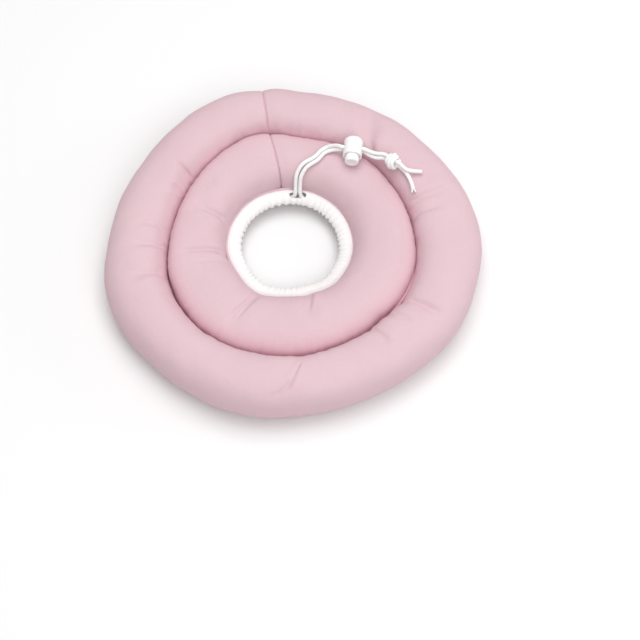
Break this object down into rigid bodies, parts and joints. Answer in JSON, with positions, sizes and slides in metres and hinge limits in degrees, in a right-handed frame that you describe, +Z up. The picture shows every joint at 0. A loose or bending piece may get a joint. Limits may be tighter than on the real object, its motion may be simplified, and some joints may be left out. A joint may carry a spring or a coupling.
{
  "type": "soft recovery cone",
  "caption": "Soft double ring recovery collar with a stuffed outer and inner ring, a gathered neck casing, a drawcord and a sprung cord lock.",
  "frame": {"origin": "middle of the rings' outline, on the surface that the neck side rests on", "axes": "+Z up through the neck opening, away from the surface; +X towards the side of the cord lock; the seam that closes the rings is near +Y"},
  "size_m": [0.2796, 0.272, 0.0534],
  "materials": {
    "pink_cotton": "fine plain weave cotton, matte",
    "white_cotton": "thin plain weave cotton, gathered, matte",
    "white_cord": "braided round cord, matte",
    "white_plastic": "moulded, satin"
  },
  "bodies": {
    "cone": {"outer_ring": "pink_cotton", "inner_ring": "pink_cotton", "neck_casing": "white_cotton", "drawcord_loop": "white_cord", "drawcord_strand_1": "white_cord", "drawcord_strand_2": "white_cord", "drawcord_knot": "white_cord", "drawcord_tail_1": "white_cord", "drawcord_tail_2": "white_cord", "cord_lock_body": "white_plastic"},
    "lock_button": {"cord_lock_button": "white_plastic"}
  },
  "joints": [
    {"name": "button_press", "type": "slide", "parent": "cone", "child": "lock_button", "axis": [0.1045, 0.9945, 0], "range_m": [0, 0.0032], "stiffness_N_per_m": 1000}
  ]
}
